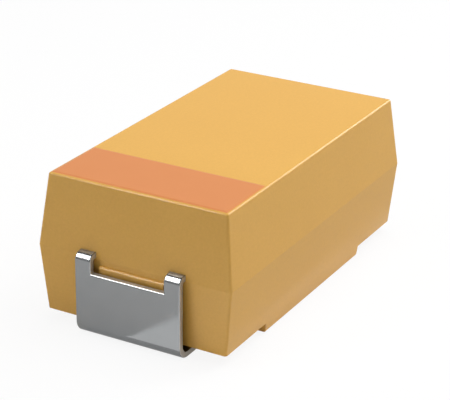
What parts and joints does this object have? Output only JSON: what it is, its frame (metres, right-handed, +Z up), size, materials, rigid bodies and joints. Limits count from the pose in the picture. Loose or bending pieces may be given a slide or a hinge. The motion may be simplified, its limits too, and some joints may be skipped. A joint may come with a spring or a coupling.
{
  "type": "moulded tantalum chip capacitor",
  "caption": "Surface-mount tantalum capacitor: a drafted gold epoxy case with a polarity stripe, folded tinned terminals at both ends, and its wired and coated anode body inside.",
  "frame": {"origin": "middle of the seating plane under the two solder feet, below the middle of the case", "axes": "+X along the length from the striped anode end to the cathode end, +Y across the width, +Z up out of the board"},
  "size_m": [0.0076, 0.0042, 0.003],
  "materials": {
    "moulded_epoxy": "fine matt moulded surface",
    "stripe_ink": "printed ink, matt",
    "tinned_strip": "matt tin plate on rolled strip",
    "sintered_tantalum": "porous sintered metal",
    "drawn_tantalum": "drawn wire",
    "ptfe": "smooth, waxy",
    "manganese_dioxide": "dull crystalline coat",
    "graphite": "dull carbon coat",
    "silver_paint": "flake-filled paint",
    "silver_glue": "cured filled adhesive"
  },
  "bodies": {
    "root": {"mould_case": "moulded_epoxy", "polarity_stripe": "stripe_ink", "anode_terminal": "tinned_strip", "cathode_terminal": "tinned_strip", "tantalum_pellet": "sintered_tantalum", "tantalum_wire": "drawn_tantalum", "wire_washer": "ptfe", "manganese_dioxide_coat": "manganese_dioxide", "graphite_coat": "graphite", "silver_coat": "silver_paint", "silver_adhesive": "silver_glue"}
  },
  "joints": []
}
